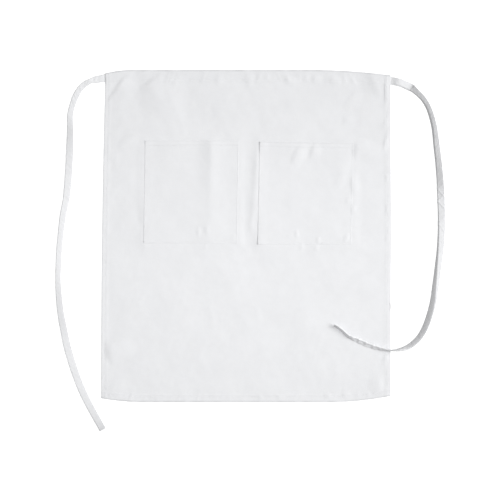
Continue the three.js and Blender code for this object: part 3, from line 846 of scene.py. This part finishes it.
def seam_on_sheet(place, thick, start, end):
    """Stitches on a sheet along a straight line of its cut: middles, directions, normals."""
    start, end = np.array(start), np.array(end)
    length = np.linalg.norm(end - start)
    count = int(length / STITCH_PITCH)
    t = (np.arange(count) + 0.5) / count
    a, b = start[0] + (end[0] - start[0]) * t, start[1] + (end[1] - start[1]) * t
    da = place(a + SEAM_PROBE, b) - place(a - SEAM_PROBE, b)
    db = place(a, b + SEAM_PROBE) - place(a, b - SEAM_PROBE)
    ups = np.cross(da, db)
    ups /= np.linalg.norm(ups, axis=1)[:, None]
    way = (end - start) / length
    return place(a, b) + ups * thick / 2, da * way[0] + db * way[1], ups


def join_seams(name, seams):
    """One mesh of all the stitches in some seams."""
    return stitch_mesh(name, *(np.concatenate(column) for column in zip(*seams)))


def sew(name, place, thick, rows):
    """All the straight rows of stitches on one sheet, each from one point of its cut to another."""
    return join_seams(name, [seam_on_sheet(place, thick, start, end) for start, end in rows])


side_at, bottom_at, waist_at = (depth - STITCH_INSET + BEND - BEND_ROUND for depth in HEM_DEPTHS)
mouth_at = POCKET_MOUTH_HEM - STITCH_INSET + POCKET_BEND - POCKET_ROUND
panel_stitches = sew("hem_stitches", panel_place, CLOTH, [
    ((side_at, SEAM_END), (side_at, LENGTH - SEAM_END)),
    ((WIDTH - side_at, SEAM_END), (WIDTH - side_at, LENGTH - SEAM_END)),
    ((SEAM_END, bottom_at), (WIDTH - SEAM_END, bottom_at)),
    ((SEAM_END, LENGTH - waist_at), (WIDTH - SEAM_END, LENGTH - waist_at)),
])
near = POCKET_STITCH + POCKET_BEND - POCKET_ROUND
far = POCKET_WIDTH - near
pocket_rows = [
    ((near, POCKET_HEIGHT - SEAM_END), (near, near)),
    ((near, near), (far, near)),
    ((far, near), (far, POCKET_HEIGHT - SEAM_END)),
    ((near, POCKET_HEIGHT - mouth_at), (far, POCKET_HEIGHT - mouth_at)),
]
pocket_stitches = {
    name: sew(name + "_stitches", place, POCKET_CLOTH, pocket_rows) for name, place in pocket_places.items()
}
print("hem stitches:", len(panel_stitches.data.vertices) // (SIDES * len(RING_AT)))

# %% Stitching along the ties
TIE_END_SEAM = 0.005


def seam_on_tie(upper, lower, walk, column):
    """Stitches along one line of a tie's upper face."""
    count = int((walk[-1] - SEAT_DEPTH - 0.004) / STITCH_PITCH)
    at = SEAT_DEPTH + 0.002 + (np.arange(count) + 0.5) * STITCH_PITCH

    def along(line):
        return np.stack([np.interp(at, walk, line[:, k]) for k in range(3)], axis=1)

    face, back = upper[:, column], lower[:, column]
    return along(face), along(np.gradient(face, axis=0)), along(face) - along(back)


def seam_across_tie(upper, lower, row):
    """The short row that closes the free end of a tie."""
    keep = np.linspace(4, len(ACROSS) - 5, 5)
    spots, under = (
        np.stack([np.interp(keep, range(len(ACROSS)), line[row, :, k]) for k in range(3)], axis=1)
        for line in (upper, lower)
    )
    return spots, np.gradient(spots, axis=0), spots - under


tie_stitches = {}
for name, (_, upper, lower, walk) in tie_lines.items():
    columns = [int(np.argmin(np.abs(ACROSS - sign * TIE_STITCH_AT))) for sign in (-1, 1)]
    end_row = int(np.searchsorted(walk, walk[-1] - TIE_END_SEAM))
    seams = []
    for face, back in ((upper, lower), (lower, upper)):
        seams += [seam_on_tie(face, back, walk, column) for column in columns]
        seams.append(seam_across_tie(face, back, end_row))
    tie_stitches[name] = join_seams(name + "_stitches", seams)
print({name: len(piece.data.polygons) for name, piece in tie_stitches.items()})

# %% [markdown]
# ## The finishes
# The cloth is white twill: fine slanting ribs, yarns of slightly uneven thickness, and a tone that
# is not quite even. These effects are node groups, because the panel, the pockets, the ties and the
# thread all use them with their own values. They read the cut cloth's own measure, kept as UVs in
# metres, so the weave follows the cloth over every fold. A painted shade, read from a mesh
# attribute, darkens the fold lines, the pocket mouths and some rows of stitches.

# %% Node helpers
def new_group(name, inputs, outputs):
    """A shader node group with these named inputs and outputs, and its two end nodes."""
    group = bpy.data.node_groups.new(name, "ShaderNodeTree")
    for label, kind, value in inputs:
        socket = group.interface.new_socket(label, in_out="INPUT", socket_type=kind)
        if value is not None:
            socket.default_value = value
    for label, kind in outputs:
        group.interface.new_socket(label, in_out="OUTPUT", socket_type=kind)
    return group, group.nodes.new("NodeGroupInput"), group.nodes.new("NodeGroupOutput")


def feed(tree, node, inputs):
    """Give a node's inputs, by name or number, plain values or other nodes' outputs."""
    for label, value in inputs.items():
        if isinstance(value, bpy.types.NodeSocket):
            tree.links.new(value, node.inputs[label])
        else:
            node.inputs[label].default_value = value
    return node


def math_node(tree, operation, *values):
    """The output of a Math node that is fed these values."""
    node = tree.nodes.new("ShaderNodeMath")
    node.operation = operation
    return feed(tree, node, dict(enumerate(values))).outputs[0]


print("node helpers ready")

# %% Twill weave
weave, weave_in, weave_out = new_group(
    "twill_weave",
    [("Vector", "NodeSocketVector", None), ("Rib Spacing", "NodeSocketFloat", 0.001)],
    [("Height", "NodeSocketFloat"), ("Shade", "NodeSocketFloat")],
)
RIB_SLOPE, RIB_SHARE, YARN_SHARE, SHADE_SHARE = 0.62, 0.34, 0.12, 0.66
cut_cloth, spacing = weave_in.outputs["Vector"], weave_in.outputs["Rib Spacing"]
split = feed(weave, weave.nodes.new("ShaderNodeSeparateXYZ"), {0: cut_cloth})
slub = feed(weave, weave.nodes.new("ShaderNodeTexNoise"), {"Vector": cut_cloth, "Scale": 320, "Detail": 2})
steep = math_node(weave, "MULTIPLY", split.outputs[1], RIB_SLOPE)
slant = math_node(weave, "ADD", split.outputs[0], steep)
phase = math_node(weave, "DIVIDE", slant, spacing)
uneven = math_node(weave, "MULTIPLY", slub.outputs[0], 0.5)
rib = math_node(weave, "SINE", math_node(weave, "MULTIPLY", math_node(weave, "ADD", phase, uneven), 6.2832))
yarn_phase = math_node(weave, "DIVIDE", split.outputs[1], spacing)
yarn = math_node(weave, "SINE", math_node(weave, "MULTIPLY", yarn_phase, 12.5664))
ribbed = math_node(weave, "MULTIPLY", rib, RIB_SHARE)
both = math_node(weave, "ADD", ribbed, math_node(weave, "MULTIPLY", yarn, YARN_SHARE))
uneven_shade = math_node(weave, "ADD", both, slub.outputs[0])
feed(weave, weave_out, {
    "Height": math_node(weave, "ADD", both, 0.5),
    "Shade": math_node(weave, "MULTIPLY", uneven_shade, SHADE_SHARE),
})
print(weave.name, len(weave.nodes), "nodes")

# %% Uneven tone of laundered cloth
tone, tone_in, tone_out = new_group(
    "laundered_tone",
    [("Vector", "NodeSocketVector", None), ("Patch Scale", "NodeSocketFloat", 9.0)],
    [("Tone", "NodeSocketFloat")],
)
patches = feed(tone, tone.nodes.new("ShaderNodeTexNoise"), {
    "Vector": tone_in.outputs["Vector"], "Scale": tone_in.outputs["Patch Scale"],
    "Detail": 4, "Roughness": 0.66,
})
spread = feed(tone, tone.nodes.new("ShaderNodeMapRange"), {
    "Value": patches.outputs[0], "From Min": 0.3, "From Max": 0.7,
})
feed(tone, tone_out, {"Tone": spread.outputs[0]})
print(tone.name, len(tone.nodes), "nodes")

# %% Cloth and thread materials
RIB_TONE, PATCH_TONE = 0.45, 0.55
# How dark the painted shade makes the cloth, as a share of its dark tone.
PAINTED_SHADE = 0.6
WEAVE_DEPTH = 0.0002


def cloth_material(name, light, dark, spacing, patch_scale, bump, sheen):
    """White cloth: the weave and the tone set its colour, roughness and bump, and a painted shade from an
    attribute darkens its colour.
    """
    material = bpy.data.materials.new(name)
    material.use_nodes = True
    tree = material.node_tree
    uv = tree.nodes.new("ShaderNodeUVMap")
    uv.uv_map = "cloth_uv"
    ribs, patch = tree.nodes.new("ShaderNodeGroup"), tree.nodes.new("ShaderNodeGroup")
    ribs.node_tree, patch.node_tree = weave, tone
    feed(tree, ribs, {"Vector": uv.outputs[0], "Rib Spacing": spacing})
    feed(tree, patch, {"Vector": uv.outputs[0], "Patch Scale": patch_scale})
    share = math_node(
        tree, "ADD", math_node(tree, "MULTIPLY", ribs.outputs["Shade"], RIB_TONE),
        math_node(tree, "MULTIPLY", patch.outputs["Tone"], PATCH_TONE),
    )
    mix, edge_shaded = tree.nodes.new("ShaderNodeMix"), tree.nodes.new("ShaderNodeMix")
    mix.data_type = edge_shaded.data_type = "RGBA"
    feed(tree, mix, {"Factor": share, "A": (*dark, 1), "B": (*light, 1)})
    # A painted shade, read from an attribute, mixes the colour towards a darker grey.
    edge = tree.nodes.new("ShaderNodeAttribute")
    edge.attribute_name = "painted_edge_shade"
    feed(tree, edge_shaded, {
        "Factor": edge.outputs["Fac"], "A": mix.outputs["Result"], "B": (*(PAINTED_SHADE * c for c in dark), 1),
    })
    rough = feed(tree, tree.nodes.new("ShaderNodeMapRange"), {
        "Value": ribs.outputs["Shade"], "To Min": 0.94, "To Max": 0.80,
    })
    relief = feed(tree, tree.nodes.new("ShaderNodeBump"), {
        "Height": ribs.outputs["Height"], "Strength": bump, "Distance": WEAVE_DEPTH,
    })
    feed(tree, tree.nodes["Principled BSDF"], {
        "Base Color": edge_shaded.outputs["Result"], "Roughness": rough.outputs[0], "Normal": relief.outputs[0],
        "Sheen Weight": sheen, "Sheen Roughness": 0.6, "Specular IOR Level": 0.25,
    })
    return material


twill = cloth_material("white_twill", (0.822, 0.827, 0.842), (0.765, 0.77, 0.785), 0.0011, 16, 0.35, 0.12)
# The ties' twill is lighter than the panel's: partly a tone of its own, partly painted light that brightens
# the ties.
lightened_tie_twill = cloth_material("lightened_tie_twill", (0.85, 0.855, 0.868), (0.80, 0.805, 0.82), 0.0010, 24, 0.35, 0.12)
thread = cloth_material("sewing_thread", (0.84, 0.84, 0.85), (0.74, 0.745, 0.76), 0.0006, 60, 0.3, 0.05)

for piece in (panel, *pockets.values()):
    piece.data.materials.append(twill)
for piece in ties.values():
    piece.data.materials.append(lightened_tie_twill)
for piece in (panel_stitches, *pocket_stitches.values(), *tie_stitches.values()):
    piece.data.materials.append(thread)
print("materials:", twill.name, lightened_tie_twill.name, thread.name)

# %% [markdown]
# ## Surface and light
# The photo is high in key: a white surface, a large soft light from the right, a long softbox
# overhead and plenty of light from all round, so the folds only just show. The surface glows a
# little, as an overexposed white sweep does.

# %% Floor
bpy.ops.object.select_all(action="DESELECT")
bpy.ops.mesh.primitive_plane_add(size=40, location=(0, 0, -0.0004))
floor = bpy.context.object
floor.name = "pale_floor"
floor_paint = bpy.data.materials.new("pale_sweep")
floor_paint.use_nodes = True
sweep = floor_paint.node_tree
seen = sweep.nodes.new("ShaderNodeLightPath")
feed(sweep, sweep.nodes["Principled BSDF"], {
    "Base Color": (0.38, 0.38, 0.38, 1), "Roughness": 0.9, "Emission Color": (1, 1, 1, 1),
    "Emission Strength": math_node(sweep, "MULTIPLY", seen.outputs["Is Camera Ray"], 0.9),
})
floor.data.materials.append(floor_paint)
print("floor:", floor.name)

# %% Lights
SUN_FROM = (3, 0.5, 2.2)

world = bpy.data.worlds.new("soft_room")
bpy.context.scene.world = world
world.use_nodes = True
feed(world.node_tree, world.node_tree.nodes["Background"], {"Color": (1, 1, 1, 1), "Strength": 0.306})

bpy.ops.object.light_add(type="SUN", location=SUN_FROM)
sun = bpy.context.object
sun.name = "soft_side_light"
sun.rotation_euler = Vector(SUN_FROM).to_track_quat("Z", "Y").to_euler()
sun.data.energy = 3.0
sun.data.angle = math.radians(40)

bpy.ops.object.light_add(type="AREA", location=(0.20, -0.08, 0.95))
box = bpy.context.object
box.name = "overhead_softbox"
box.data.shape = "RECTANGLE"
box.data.size = 1.3
box.data.size_y = 0.4
box.data.energy = 2.75
box.visible_camera = False

bpy.context.scene.view_settings.view_transform = "Standard"
print("lights:", sun.name, box.name)

# %% [markdown]
# ## Handing the pieces to the frame
# Every piece rides on a body, and each cloth piece takes the place of the frame's part of the same
# name, which is hidden. The apron has no joints, so everything rides on its one body.

# %% Ride and replace
for name, piece in ties.items():
    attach(piece, "root")
    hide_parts(name)
    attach(tie_stitches[name], "root")
    centres, _, _, walk = tie_lines[name]

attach(panel, "root")
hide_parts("panel")
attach(panel_stitches, "root")
for name, piece in pockets.items():
    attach(piece, "root")
    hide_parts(name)
    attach(pocket_stitches[name], "root")
